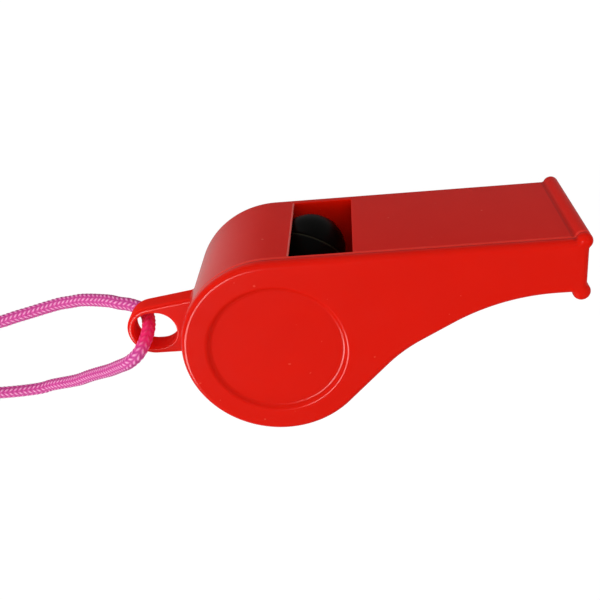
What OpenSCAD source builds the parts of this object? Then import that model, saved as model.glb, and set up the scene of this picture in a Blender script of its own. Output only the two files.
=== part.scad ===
// A pea whistle lying on its side, with its lanyard put away in a coil.
// +X points to the mouth, +Y to the window, +Z up out of the side cover.
// The origin is on the table, under the middle of the whistle without its lanyard.
// Every part is drawn round the drum's axis, and standing() carries it to the origin.

/* [Drum] */
// Outside radius of the round drum
drum_r = 10.4; // [9:0.1:14]
// Wall round the chamber
drum_wall = 1.1; // [0.9:0.1:1.6]
// Width of the whistle over both sides
whistle_w = 17.3; // [14:0.1:22]
// Thickness of the body's closed side
side_wall = 1.3; // [1.1:0.1:2]
// Rounding of the outside edges on both sides
edge_r = 0.7; // [0.3:0.05:0.8]
// Radius of the round recess in each side
recess_r = 7.65; // [5:0.05:8.5]
// Depth of the round recess in each side
recess_depth = 0.4; // [0.2:0.05:0.6]
// Width of the sloping wall round each recess
recess_slope = 0.4; // [0.2:0.05:0.8]

/* [Side cover] */
// Thickness of the side cover
cover_t = 1.1; // [1.1:0.05:1.6]
// Rounding of the cover's lower edge at the seam
seam_r = 0.15; // [0.05:0.05:0.2]
// How far the cover's locating ring reaches into the chamber
ring_h = 1; // [0.6:0.1:2]
// Wall of the locating ring
ring_wall = 1; // [0.6:0.1:1.6]
// Running gap between the locating ring and the bore
ring_gap = 0.1; // [0.05:0.05:0.3]

/* [Mouthpiece] */
// Distance from the drum's axis to the mouth's end face
mouth_x = 32.46; // [31:0.02:40]
// Height of the mouthpiece's underside above the drum's axis, at the mouth
mouth_low = 4.55; // [4:0.05:5.2]
// Slope of the underside where it leaves the drum
neck_angle = 45.2; // [42:0.1:48]
// Straight run from the drum to the first bend of the underside
neck_run = 8.7; // [8:0.1:9.5]
// Radius of the first bend of the underside
neck_r = 16; // [8:0.5:20]
// Slope of the underside after its first bend
belly_angle = 28.8; // [26:0.1:32]
// Largest radius of the second bend of the underside, which ends behind the lip
belly_r = 22; // [10:0.5:30]
// Radius of the rounded upper lip at the mouth
top_lip_r = 0.84; // [0.82:0.02:1.1]
// Radius of the rounded lower lip
low_lip_r = 0.92; // [0.82:0.02:1.1]
// How far the lips' centres lie behind the end face
lip_back = 0.48; // [0.3:0.02:0.7]
// How far the upper lip's centre lies below the top face
top_lip_in = 0.22; // [0.1:0.02:0.4]
// How far the lower lip's centre lies below the underside
low_lip_out = 0.05; // [0:0.05:0.3]
// Hollow radius where a lip leaves the mouthpiece
lip_root_r = 0.5; // [0.3:0.05:0.8]
// Hollow radius between a lip and the end face
lip_face_r = 0.4; // [0.3:0.05:0.6]

/* [Windway and window] */
// Thickness of the top wall over the windway, at the mouth
top_wall = 1.3; // [1:0.05:1.4]
// Thickness of the top wall where the windway meets the window
slot_roof = 0.9; // [0.8:0.05:1.1]
// Height of the windway at the mouth
windway_h = 3.3; // [2.8:0.1:3.4]
// Height of the slot that blows across the window
slot_h = 1.5; // [1:0.1:2]
// Distance from the drum's axis to the window's sharp edge
window_x = 2.22; // [1.8:0.02:2.6]
// Length of the window along the whistle
window_l = 6.65; // [6:0.05:7.4]
// Width of the rim between the window and the seam
window_rim = 0.45; // [0.4:0.05:1.2]
// Flat left on the sharp edge that splits the air
edge_land = 0.25; // [0.2:0.05:0.35]
// Slope of the underside of the sharp edge
edge_angle = 35; // [30:1:40]
// Length of that slope
edge_run = 2.6; // [2:0.1:3.2]
// Walls round the hollow under the windway
pocket_wall = 1.1; // [0.9:0.1:1.5]
// Length of the hollow under the windway, from the drum's axis
pocket_x = 21.5; // [16:0.5:22]

/* [Lanyard eye] */
// Distance from the drum's axis to the centre of the eye's round end
eye_x = 14.95; // [14.5:0.05:18]
// How far the eye's centre lies below the drum's axis
eye_drop = 0.6; // [0:0.05:0.8]
// Outside radius of the eye's round end
eye_r = 3.1; // [2.9:0.05:3.6]
// Radius of the ends of the eye's hole
eye_hole_r = 2.3; // [1.9:0.05:2.4]
// Wall between the hole and the eye's round end
eye_wall = 0.75; // [0.7:0.05:1.1]
// Run between the hole's two round ends
eye_hole_run = 0.5; // [0.4:0.05:1]
// Thickness of the eye
eye_t = 2.8; // [2:0.1:4]
// Height of the eye's underside over the table
eye_z = 7.4; // [6:0.1:8]
// How far the eye's upper side flares towards the drum
eye_flare = 8.5; // [0:0.5:10]
// Rounding of the eye's edges
eye_edge_r = 0.45; // [0.2:0.05:0.5]
// Wall left between the eye's root and the bore
eye_root = 0.35; // [0.3:0.05:0.5]

/* [Pea] */
// Diameter of the pea
pea_d = 8; // [6:0.1:8.2]
// Distance of the resting pea's centre from the drum's axis
pea_out = 7.4; // [6.9:0.05:7.4]
// Direction of the resting pea from the drum's axis
pea_angle = 58; // [57:0.5:60]
// Gap between the pea and the side that it lies on
pea_gap = 0.1; // [0.05:0.05:0.3]
// Radius of the pea's moulding groove
pea_groove_r = 0.12; // [0.05:0.01:0.2]
// Tilt of the groove of the resting pea
pea_tilt = 40; // [0:1:90]
// Sideways lean of that groove
pea_lean = -29; // [-90:1:90]

/* [Lanyard] */
// Diameter of the braided cord
cord_d = 1.6; // [1.4:0.05:1.6]
// Turns of the stored coil, which ends on the half turn
coil_turns = 15.5; // [11.5:4:15.5]
// Radius of the coil's outermost turn
coil_r = 12.85; // [12.85:0.05:14]
// Gap between turns that lie beside each other
coil_gap = 0.5; // [0.45:0.05:0.6]
// Gap between layers of turns
layer_gap = 0.45; // [0.45:0.05:0.6]
// Thickness of the band that ties the coil
tie_t = 0.4; // [0.3:0.05:0.6]
// Width of the band that ties the coil
tie_w = 3; // [2:0.5:5]
// Gap between the band and the turns inside it
tie_gap = 0.1; // [0.1:0.05:0.3]
// Length of the knot that joins the lanyard's ends
knot_l = 5; // [4.8:0.1:6]
// Distance between the knot's wraps, along the cord
wrap_step = 1.45; // [1.3:0.05:1.5]
// Length of the cut ends that stand out of the knot
knot_tail = 2.5; // [1:0.5:4]

/* [Hidden] */
red = [0.84, 0.09, 0.06];
pea_black = [0.05, 0.05, 0.04];
cord_pink = [0.85, 0.28, 0.66];

// One overrun serves every cut
cut_over = 0.5;
bore_r = drum_r - drum_wall;
seam_z = whistle_w - cover_t;
pea_r = pea_d / 2;
cord_r = cord_d / 2;
round_steps = 96;

// How finely the outline's arcs are divided
drum_steps = 60;
bend_steps = 6;
hollow_steps = 3;
lip_steps = 12;
edge_steps = 4;

// Underside of the mouthpiece: a line off the drum, a bend, a second line, a bend and a level line
neck_start = drum_r * [sin(neck_angle), -cos(neck_angle)];
neck_corner = neck_start + neck_run * [cos(neck_angle), sin(neck_angle)];
belly_corner = [neck_corner.x + (mouth_low - neck_corner.y) / tan(belly_angle), mouth_low];

// Centre of the arc that blends a line of slope a into one of slope b, at their corner
function blend_centre(corner, a, b, r) =
    corner + r * [sin(a) + sin(b), -cos(a) - cos(b)] / (1 + cos(a - b));
neck_centre = blend_centre(neck_corner, neck_angle, belly_angle, neck_r);

// Lips: a round bead above and below, with a hollow on each side of it
lip_x = mouth_x - lip_back;
low_lip = [lip_x, mouth_low - low_lip_out];
top_lip = [lip_x, drum_r - top_lip_in];
low_root_a = asin((lip_root_r - low_lip_out) / (low_lip_r + lip_root_r));
top_root_a = asin((lip_root_r + top_lip_in) / (top_lip_r + lip_root_r));
low_face_a = acos((lip_back + lip_face_r) / (low_lip_r + lip_face_r));
top_face_a = acos((lip_back + lip_face_r) / (top_lip_r + lip_face_r));
low_root = low_lip - (low_lip_r + lip_root_r) * [cos(low_root_a), sin(low_root_a)];
top_root = top_lip + (top_lip_r + lip_root_r) * [-cos(top_root_a), sin(top_root_a)];
low_face = low_lip + (low_lip_r + lip_face_r) * [cos(low_face_a), sin(low_face_a)];
top_face = top_lip + (top_lip_r + lip_face_r) * [cos(top_face_a), -sin(top_face_a)];

// The second bend of the underside is level where the lower lip's hollow starts, or before it
belly_bend = min(belly_r, (low_root.x - belly_corner.x) / tan(belly_angle / 2));
belly_centre = blend_centre(belly_corner, belly_angle, 0, belly_bend);

// The origin is under the middle of the whistle's box, eye and lips included
mouth_end = lip_x + max(top_lip_r, low_lip_r);
middle = [(mouth_end - eye_x - eye_r) / 2, (top_lip.y + top_lip_r - drum_r) / 2];

// Window and windway
window_end = window_x + window_l;
slot_top = drum_r - slot_roof;
slot_low = slot_top - slot_h;
mouth_top = drum_r - top_wall;
mouth_floor = mouth_top - windway_h;

// Cord
strand_sides = 8;
coil_sides = 6;
coil_steps = 24;
coil_layers = 4;
layer_turns = coil_turns / coil_layers;
climb_turns = 0.5;
coil_pitch = cord_d + coil_gap;
layer_pitch = cord_d + layer_gap;
coil_low = tie_t + tie_gap + cord_r;
coil_high = coil_low + (coil_layers - 1) * layer_pitch;
coil_middle = [-62, -1];
coil_inner_r = coil_r - layer_turns * coil_pitch;
knot_place = [-45, 4.2, 2.4];
wrap_r = cord_d;
wrap_places = [-1, 0, 1];

// Route from the coil over the eye, down through its hole and back under it to the knot
near_points = [
    [-57, -13.85, 1.1], [-53, -13.9, 0.9], [-49, -13.9, 0.8], [-45, -13.9, 0.8],
    [-41, -13.9, 0.8], [-37.4, -13.8, 0.8], [-34.5, -13.55, 0.8], [-32.9, -13.1, 0.9],
    [-31.3, -12.45, 1.6], [-29.5, -11.75, 2.4], [-27.7, -10.75, 3.6], [-25.7, -9.4, 5],
    [-23.7, -8.05, 6.6], [-21.8, -6.75, 8.2], [-20.1, -5.4, 9.7], [-18.2, -3.8, 11.5],
    [-16.8, -2.55, 11.9]
];
eye_points = [
    [-16.05, -1.6, 11.3], [-15.65, -0.8, 10.3], [-15.6, -0.3, 9.3], [-15.85, 0, 8], [-16.4, 0, 6.7]
];
far_points = [
    [-17.3, 0.2, 5.7], [-18.7, 0.4, 5], [-20, 0.4, 4.5], [-21.3, 0.4, 3.8], [-22.8, 0.2, 3],
    [-24.3, 0.05, 2.4], [-25.8, -0.2, 1.8], [-27.2, -0.55, 1.4], [-28.8, -0.9, 1], [-30.9, -1.45, 0.8],
    [-33.1, -2, 0.8], [-35.2, -2.5, 0.8], [-37.3, -3.05, 0.8], [-40.6, -3.5, 0.8],
    [-42.8, -2.9, 0.9], [-44.4, -1.3, 1.4], [-45, 0.4, 2.2]
];
link_points = [
    [-58, 11.85, 7.4], [-56, 11.85, 6.9], [-54, 11.85, 6], [-52, 11.85, 4.9], [-50, 11.8, 3.9],
    [-48.2, 11.3, 3.1], [-46.6, 10.4, 2.7], [-45.5, 9, 2.5]
];

// Points of an arc round c, from angle a to angle b, in n steps
function arc(c, r, a, b, n) =
    [for (i = [0 : n]) c + r * [cos(a + (b - a) * i / n), sin(a + (b - a) * i / n)]];
// The same without its two ends, which the arcs beside it give
function arc_between(c, r, a, b, n) =
    let (p = arc(c, r, a, b, n)) [for (i = [1 : n - 1]) p[i]];

// The drum and the underside, drawn in by d
function drum_and_underside(d) = concat(
    arc([0, 0], drum_r - d, 90, 270 + neck_angle, drum_steps),
    arc(neck_centre, neck_r + d, 90 + neck_angle, 90 + belly_angle, bend_steps),
    arc(belly_centre, belly_bend + d, 90 + belly_angle, 90, bend_steps)
);

// The whistle's side outline, drawn in by d all round
function outline(d) = concat(
    drum_and_underside(d),
    arc(low_root, lip_root_r + d, 90, low_root_a, hollow_steps),
    arc_between(low_lip, low_lip_r - d, 180 + low_root_a, 360 + low_face_a, lip_steps),
    arc(low_face, lip_face_r + d, 180 + low_face_a, 180, hollow_steps),
    arc(top_face, lip_face_r + d, 180, 180 - top_face_a, hollow_steps),
    arc_between(top_lip, top_lip_r - d, -top_face_a, 180 - top_root_a, lip_steps),
    arc(top_root, lip_root_r + d, -top_root_a, -90, hollow_steps)
);

// The eye's outline drawn in by d: a round end, and two sides that run into the drum's wall
eye_root_x = -bore_r - eye_root;
eye_centre = [-eye_x, -eye_drop];
eye_hole_x = eye_wall + eye_hole_r - eye_x - eye_r;
function eye_side(a, d, slope) =
    let (p = eye_centre + (eye_r - d) * [cos(a), sin(a)])
    [eye_root_x, p.y + (eye_root_x - p.x) * tan(slope)];
function eye_outline(d) = concat(
    arc(eye_centre, eye_r - d, 90 + eye_flare, 270, drum_steps / 2),
    [eye_side(270, d, 0), eye_side(90 + eye_flare, d, eye_flare)]
);

// Draw-in and height of each section of a rounded lower edge, r in radius, that starts at height z
function lower_edge(z, r) =
    [for (i = [0 : edge_steps])
        let (a = 90 * i / edge_steps) [r * (1 - sin(a)), z + r * (1 - cos(a))]];
// The same for a rounded upper edge that ends at height z
function upper_edge(z, r) =
    [for (i = [edge_steps : -1 : 0])
        let (a = 90 * i / edge_steps) [r * (1 - sin(a)), z - r * (1 - cos(a))]];

// Triangles that close a ring of n points in which the first point sees all the others
function fan(n) = [for (i = [1 : n - 2]) [0, i, i + 1]];

// Numbers of the outline's points where the underside meets its lip, where the end face starts
// and ends, and at the outermost point of each lip
underside_end = drum_steps + 1 + 2 * (bend_steps + 1);
face_start = underside_end + 2 * hollow_steps + lip_steps;
face_end = face_start + 1;
outline_last = face_end + face_start - underside_end;
lip_rungs = hollow_steps + round(lip_steps / 3);
low_crest = underside_end + lip_rungs;
top_crest = outline_last - lip_rungs;

// Triangles that close the outline: a fan from the drum's top to the underside, a ladder between
// the lips, and a fan in each lip
outline_cap = concat(
    [for (i = [1 : underside_end - 1]) [0, i, i + 1]],
    [[0, underside_end, outline_last]],
    [for (k = [0 : lip_rungs - 1])
        [underside_end + k, underside_end + k + 1, outline_last - k]],
    [for (k = [0 : lip_rungs - 1])
        [underside_end + k + 1, outline_last - k - 1, outline_last - k]],
    [for (i = [low_crest + 1 : face_start - 1]) [low_crest, i, i + 1]],
    [[low_crest, face_start, face_end], [low_crest, face_end, top_crest]],
    [for (i = [face_end : top_crest - 2]) [top_crest, i, i + 1]]
);

// A closed solid through rings of points that all run the same way round, closed by cap's triangles
module through_rings(rings, cap) {
    n = len(rings[0]);
    last = len(rings) - 1;
    polyhedron(
        points = [for (ring = rings) for (p = ring) p],
        faces = concat(
            cap,
            [for (f = cap) [last * n + f[2], last * n + f[1], last * n + f[0]]],
            [for (k = [0 : last - 1]) for (i = [0 : n - 1])
                [k * n + i, (k + 1) * n + i, (k + 1) * n + (i + 1) % n]],
            [for (k = [0 : last - 1]) for (i = [0 : n - 1])
                [k * n + i, (k + 1) * n + (i + 1) % n, k * n + (i + 1) % n]]
        )
    );
}

// A slab of the whistle's outline, with the edges that the profile gives
module whistle_slab(profile) {
    through_rings([for (s = profile) [for (p = outline(s[0])) [p.x, p.y, s[1]]]], outline_cap);
}

module eye_slab(profile) {
    rings = [for (s = profile) [for (p = eye_outline(s[0])) [p.x, p.y, s[1]]]];
    through_rings(rings, fan(len(rings[0])));
}

// Directions and sections of a tube that follows points
function unit(v) = v / norm(v);
function tangent(p, i) = unit(p[min(i + 1, len(p) - 1)] - p[max(i - 1, 0)]);
function across(v, t) = unit(v - t * (v * t));
function normals(p) = [
    for (i = 0, v = across([0, 0, 1], tangent(p, 0)); i < len(p);
        i = i + 1, v = across(v, tangent(p, min(i, len(p) - 1)))) v
];
function tube_rings(p, r, sides) =
    let (v = normals(p))
    [for (i = [0 : len(p) - 1])
        let (t = tangent(p, i), a = across(v[i], t), b = cross(t, a))
        [for (k = [0 : sides - 1]) p[i] + r * (cos(360 * k / sides) * a + sin(360 * k / sides) * b)]];

module tube(p, r, sides) {
    through_rings(tube_rings(p, r, sides), fan(sides));
}

function path_length(p) =
    let (steps = [for (i = [1 : len(p) - 1]) norm(p[i] - p[i - 1])])
    steps * [for (s = steps) 1];

// Coil: the turns spiral in, climb a layer, spiral out, and so on up four layers
function tip(w) = w < climb_turns / 2 ? w * w / climb_turns + climb_turns / 4 : w;
function turns_in(t) =
    let (
        u = t % (2 * layer_turns),
        from_out = min(u, 2 * layer_turns - u),
        to_in = layer_turns - from_out
    )
    t < layer_turns / 2 || t > coil_turns - layer_turns / 2 ? from_out
        : from_out < to_in ? tip(from_out) : layer_turns - tip(to_in);
function ease(s) = let (c = min(max(s, 0), 1)) c * c * (3 - 2 * c);
function climbed(t, k = 1) =
    k >= coil_layers ? 0 : ease((t - k * layer_turns) / climb_turns + 1 / 2) + climbed(t, k + 1);
function coil_point(t) =
    let (r = coil_r - coil_pitch * turns_in(t), a = -90 - 360 * t)
    [coil_middle.x + r * cos(a), coil_middle.y + r * sin(a), coil_low + layer_pitch * climbed(t)];
coil_entry = [coil_middle.x + cord_d, coil_middle.y - coil_r, coil_low];
coil_exit = [coil_middle.x + cord_d, coil_middle.y + coil_r, coil_high];
coil_count = coil_turns * coil_steps;
coil_points = concat(
    [coil_entry],
    [for (i = [0 : coil_count]) coil_point(i / coil_steps)],
    [coil_exit]
);

knot_near = knot_place + [0, knot_l / 2, 0];
knot_far = knot_place - [0, knot_l / 2, 0];
strand_points = concat([coil_entry], near_points, eye_points, far_points, [knot_far]);
link_route = concat([coil_exit], link_points, [knot_near]);

// Least gap between turns, over pairs of points that are half a turn or more apart
half_turn = coil_steps / 2;
coil_least_gap = min([
    for (i = [0 : len(coil_points) - 1 - half_turn])
        min([for (j = [i + half_turn : len(coil_points) - 1]) norm(coil_points[i] - coil_points[j])])
]) - cord_d;
echo(coil_least_gap = coil_least_gap);
echo(coil_length = path_length(coil_points));
echo(lanyard_length = path_length(coil_points) + path_length(strand_points) + path_length(link_route));

// Carries what is drawn round the drum's axis to the part's origin
module standing() {
    translate([-middle.x, -middle.y, 0]) children();
}

// Round shallow recess with a sloping wall, sunk from height 0 down, or up where out is -1
module side_recess(out) {
    rotate_extrude($fn = round_steps)
        polygon([
            [0, -out * recess_depth], [recess_r - recess_slope, -out * recess_depth],
            [recess_r, 0], [recess_r, out * cut_over], [0, out * cut_over]
        ]);
}

// Windway from the mouth, and the throat where it opens into the chamber
slot_rise = (mouth_floor - slot_low) / (mouth_x - window_end);
roof_rise = (mouth_top - slot_top) / (mouth_x - window_end);
module air_outline() {
    outer = mouth_end + cut_over;
    polygon([
        [window_x, 0], [window_end, 0], [window_end, slot_low],
        [outer, mouth_floor + slot_rise * (outer - mouth_x)],
        [outer, mouth_top + roof_rise * (outer - mouth_x)],
        [window_end, slot_top], [window_x, slot_top]
    ]);
}

// Window through the top wall, and the slope under its sharp edge
module window_outline() {
    translate([window_x, 0]) square([window_l, drum_r + cut_over]);
    polygon([
        [window_x + cut_over, drum_r - edge_land],
        [window_x, drum_r - edge_land],
        [window_x - edge_run, drum_r - edge_land - edge_run * tan(edge_angle)],
        [window_x - edge_run, 0],
        [window_x + cut_over, 0]
    ]);
}

// Hollow under the windway that keeps the walls even
module pocket_outline() {
    left = window_end + pocket_wall;
    difference() {
        intersection() {
            polygon(concat(drum_and_underside(pocket_wall), [[low_root.x, drum_r]]));
            polygon([
                [left, -drum_r],
                [pocket_x, -drum_r],
                [pocket_x, mouth_floor - slot_rise * (mouth_x - pocket_x) - pocket_wall],
                [left, slot_low + slot_rise * pocket_wall - pocket_wall]
            ]);
        }
        circle(r = bore_r + pocket_wall, $fn = round_steps);
    }
}

// The walls that stand on the closed side, with the window in them or passing over it
module walls(z, h, with_window) {
    translate([0, 0, z])
        linear_extrude(h)
            difference() {
                polygon(outline(0));
                circle(r = bore_r, $fn = round_steps);
                air_outline();
                pocket_outline();
                if (with_window) window_outline();
            }
}

// The closed side, with its recess underneath
module closed_side() {
    difference() {
        whistle_slab(concat(lower_edge(0, edge_r), [[0, side_wall]]));
        side_recess(-1);
    }
}

module eye_hole_cut() {
    translate([eye_hole_x, -eye_drop, 0]) {
        cylinder(h = whistle_w, r = eye_hole_r, $fn = round_steps);
        translate([eye_hole_run, 0, 0])
            cylinder(h = whistle_w, r = eye_hole_r, $fn = round_steps);
        translate([0, -eye_hole_r, 0])
            cube([eye_hole_run, 2 * eye_hole_r, whistle_w]);
    }
}

// Loop on the back of the drum that the lanyard goes through
module eye() {
    difference() {
        eye_slab(concat(lower_edge(eye_z, eye_edge_r), upper_edge(eye_z + eye_t, eye_edge_r)));
        eye_hole_cut();
    }
}

module whistle_body() {
    color(red) standing() {
        closed_side();
        walls(side_wall, seam_z - window_rim - side_wall, true);
        walls(seam_z - window_rim, window_rim, false);
        eye();
    }
}

module side_cover() {
    color(red) standing() {
        difference() {
            whistle_slab(concat(lower_edge(seam_z, seam_r), upper_edge(whistle_w, edge_r)));
            translate([0, 0, whistle_w]) side_recess(1);
        }
        translate([0, 0, seam_z - ring_h])
            difference() {
                cylinder(h = ring_h + seam_r, r = bore_r - ring_gap, $fn = round_steps);
                translate([0, 0, -cut_over])
                    cylinder(h = whistle_w, r = bore_r - ring_gap - ring_wall, $fn = round_steps);
            }
    }
}

// Hollow-moulded ball that the two halves of its mould leave a groove round
module pea() {
    color(pea_black) standing()
        translate([pea_out * cos(pea_angle), pea_out * sin(pea_angle), side_wall + pea_gap + pea_r])
            rotate([pea_tilt, pea_lean, 0]) difference() {
                sphere(r = pea_r, $fn = round_steps);
                rotate_extrude($fn = round_steps)
                    translate([pea_r, 0]) circle(r = pea_groove_r, $fn = coil_steps);
            }
}

module lanyard_strands() {
    color(cord_pink) standing() tube(strand_points, cord_r, strand_sides);
}

module lanyard_coil() {
    color(cord_pink) standing() tube(coil_points, cord_r, coil_sides);
}

module lanyard_link() {
    color(cord_pink) standing() tube(link_route, cord_r, strand_sides);
}

// Barrel knot: three wraps side by side round the cord, and a cut end on each side
module lanyard_knot() {
    tail_out = wrap_r + cord_r / 4;
    color(cord_pink) standing() translate(knot_place) {
        rotate([90, 0, 0])
            cylinder(h = knot_l, r = wrap_r - cord_r / 2, center = true, $fn = round_steps / 2);
        for (k = wrap_places) translate([0, k * wrap_step, 0])
            rotate([90, 0, 0]) rotate_extrude($fn = round_steps / 2)
                translate([wrap_r, 0]) circle(r = cord_r, $fn = coil_steps);
        for (side = [-1, 1])
            translate([side * tail_out, side * knot_l / 4, 0])
                rotate([-90 * side, 0, 0])
                    cylinder(h = knot_l / 4 + knot_tail, r = cord_r, $fn = round_steps / 4);
    }
}

// Flat band round the coil's turns, which lie on it
module coil_tie() {
    inside = coil_r - coil_inner_r + cord_d + 2 * tie_gap;
    tall = coil_high - coil_low + cord_d + 2 * tie_gap;
    corner = cord_r + tie_gap;
    color(cord_pink) standing()
        translate([coil_middle.x - (coil_r + coil_inner_r) / 2, coil_middle.y, tie_t + tall / 2])
            rotate([90, 0, 0])
                linear_extrude(tie_w, center = true)
                    difference() {
                        band(inside + 2 * tie_t, tall + 2 * tie_t, corner + tie_t);
                        band(inside, tall, corner);
                    }
}

// Rectangle w wide and h tall with corners of radius r
module band(w, h, r) {
    polygon([
        for (q = [[1, 1, 0], [-1, 1, 90], [-1, -1, 180], [1, -1, 270]])
            for (p = arc([q[0] * (w / 2 - r), q[1] * (h / 2 - r)], r, q[2], q[2] + 90, bend_steps)) p
    ]);
}

whistle_body();
side_cover();
pea();
lanyard_strands();
lanyard_coil();
lanyard_link();
lanyard_knot();
coil_tie();
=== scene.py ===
# %% [markdown]
# # A pea whistle and its braided lanyard
#
# The whistle lies on its closed side. The frame brings the measured solids, their two bodies
# and the ball's joint, and every piece made here is placed in that same frame, in metres.

import bpy
import numpy as np
from mathutils import Matrix, Vector


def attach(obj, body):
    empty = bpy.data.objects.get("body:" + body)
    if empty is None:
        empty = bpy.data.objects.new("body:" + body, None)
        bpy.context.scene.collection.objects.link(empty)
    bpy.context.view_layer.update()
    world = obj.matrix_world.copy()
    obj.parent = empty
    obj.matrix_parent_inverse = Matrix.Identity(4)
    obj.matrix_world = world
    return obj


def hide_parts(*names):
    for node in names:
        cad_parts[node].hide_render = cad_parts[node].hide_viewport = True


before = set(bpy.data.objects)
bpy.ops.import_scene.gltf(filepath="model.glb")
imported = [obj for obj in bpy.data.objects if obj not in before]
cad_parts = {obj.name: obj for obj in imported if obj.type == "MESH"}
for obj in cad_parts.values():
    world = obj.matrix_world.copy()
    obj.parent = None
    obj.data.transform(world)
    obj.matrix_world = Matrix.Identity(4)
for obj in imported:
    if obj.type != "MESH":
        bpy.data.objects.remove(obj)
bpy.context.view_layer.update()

MM = 0.001
# The frame's origin is under the middle of the whistle, and the shapes are drawn round the drum
MIDDLE = np.array([7.425, 0.31, 0.0])
scene = bpy.context.scene
scene.view_settings.view_transform = "Standard"
print("solids in the frame:", sorted(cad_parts))


def in_frame(points):
    """Drum-centred millimetres moved by minus the middle and turned into metres."""
    return (np.asarray(points, float) - MIDDLE) * MM


# %% [markdown]
# ## Camera
#
# The camera stands high in front of the window's side and looks down at about 61 degrees, so
# that the cover's flat face and the top of the mouthpiece both show. Its place was found by
# fitting the corners of the whistle to their places in the picture.

# %% Camera
LENS_MM = 52.2
SENSOR_MM = 36.0
CLIP_START = 0.005
camera_place = Vector((2.805, 48.15, 96.66)) * MM
camera_look = Vector((-0.079, -0.470, -0.879)).normalized()
camera_up = Vector((0.067, 0.878, -0.475))
camera_side = camera_look.cross(camera_up).normalized()
camera_up = camera_side.cross(camera_look)

camera_data = bpy.data.cameras.new("camera")
camera_data.lens = LENS_MM
camera_data.sensor_width = SENSOR_MM
camera_data.clip_start = CLIP_START
camera = bpy.data.objects.new("camera", camera_data)
turn = Matrix((camera_side, camera_up, -camera_look)).transposed()
camera.matrix_world = Matrix.Translation(camera_place) @ turn.to_4x4()
scene.collection.objects.link(camera)
scene.camera = camera
print("camera", round(camera_place.length / MM), "mm from the whistle")

# %% [markdown]
# ## Surfaces from grids
#
# Every shape below is an array of points: rings of equal length, one after another. Joining
# each ring to the next gives the skin. The rings either close at their ends with a flat face,
# or run round to the first ring again.


# %% Rings into a mesh
def ring_faces(rings, sides, closed_rings=False):
    """Quads between neighbouring rings: ring k, point i joins ring k + 1, point i + 1."""
    k = np.arange(rings if closed_rings else rings - 1)[:, None]
    i = np.arange(sides)[None, :]
    k_next = (k + 1) % rings
    i_next = (i + 1) % sides
    quads = np.stack([
        k * sides + i, k * sides + i_next, k_next * sides + i_next, k_next * sides + i
    ], axis=-1)
    return quads.reshape(-1, 4)


def new_piece(name, points, faces):
    """A mesh object at the origin, from points in drum-centred millimetres and lists of faces."""
    mesh = bpy.data.meshes.new(name)
    mesh.from_pydata(in_frame(points).tolist(), [], faces)
    mesh.validate()
    piece = bpy.data.objects.new(name, mesh)
    scene.collection.objects.link(piece)
    return piece


def solid_of_rings(name, rings):
    """A closed solid: a stack of rings that run anticlockwise seen from its last ring."""
    rings = np.asarray(rings, float)
    count, sides = rings.shape[:2]
    faces = ring_faces(count, sides).tolist()
    faces.append(list(range(sides))[::-1])
    faces.append(list(range((count - 1) * sides, count * sides)))
    return new_piece(name, rings.reshape(-1, 3), faces)


def at_height(points, z):
    """Flat points, each with the same height z."""
    return np.column_stack([points, np.full(len(points), z)])


def prism(name, outline, low, high):
    """The outline carried straight up from height low to height high."""
    return solid_of_rings(name, [at_height(outline, z) for z in (low, high)])


def lathe(name, profile, steps=128):
    """A profile of (radius, height) points turned round the drum's axis, on which it starts and
    ends: each ring is radius times the cosine and sine of equal steps."""
    profile = np.asarray(profile, float)
    a = np.linspace(0, 2 * np.pi, steps, endpoint=False)
    r = profile[1:-1, 0][:, None]
    z = np.broadcast_to(profile[1:-1, 1][:, None], (len(profile) - 2, steps))
    rings = np.stack([r * np.cos(a), r * np.sin(a), z], axis=-1)
    last = (len(profile) - 3) * steps
    poles = [[0, 0, profile[0, 1]], [0, 0, profile[-1, 1]]]
    low_pole, high_pole = rings.size // 3, rings.size // 3 + 1
    i = np.arange(steps)
    j = (i + 1) % steps
    faces = ring_faces(len(profile) - 2, steps).tolist()
    faces += np.stack([np.full(steps, low_pole), j, i], axis=-1).tolist()
    faces += np.stack([np.full(steps, high_pole), last + i, last + j], axis=-1).tolist()
    return new_piece(name, np.vstack([rings.reshape(-1, 3), poles]), faces)


def cylinder(name, radius, low, high):
    """A round solid on the drum's axis, between two heights."""
    return lathe(name, [[0, low], [radius, low], [radius, high], [0, high]])


# %% [markdown]
# ## Cord
#
# The lanyard is one braided cord, about 1.6 mm thick and 0.97 m long. It comes over the
# whistle's eye, goes down through its hole and leaves under it, so both strands leave the
# picture on the left. The rest of its length lies in a neat coil, and a barrel knot joins the
# ends. The route is given by points in drum-centred millimetres, the same ones as in the solids.

# %% Route of the cord
CORD_D = 1.6
CORD_R = CORD_D / 2
COIL_TURNS = 15.5
COIL_R = 12.85
COIL_PITCH = 2.1
LAYER_PITCH = 2.05
COIL_LAYERS = 4
COIL_RISE = (COIL_LAYERS - 1) * LAYER_PITCH
COIL_LOW = 1.3
COIL_MIDDLE = np.array([-62.0, -1.0])
TURN_STEPS = 24
LAYER_TURNS = COIL_TURNS / COIL_LAYERS
CLIMB_TURNS = 0.5
KNOT_PLACE = np.array([-45.0, 4.2, 2.4])
KNOT_L = 5.0

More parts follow.
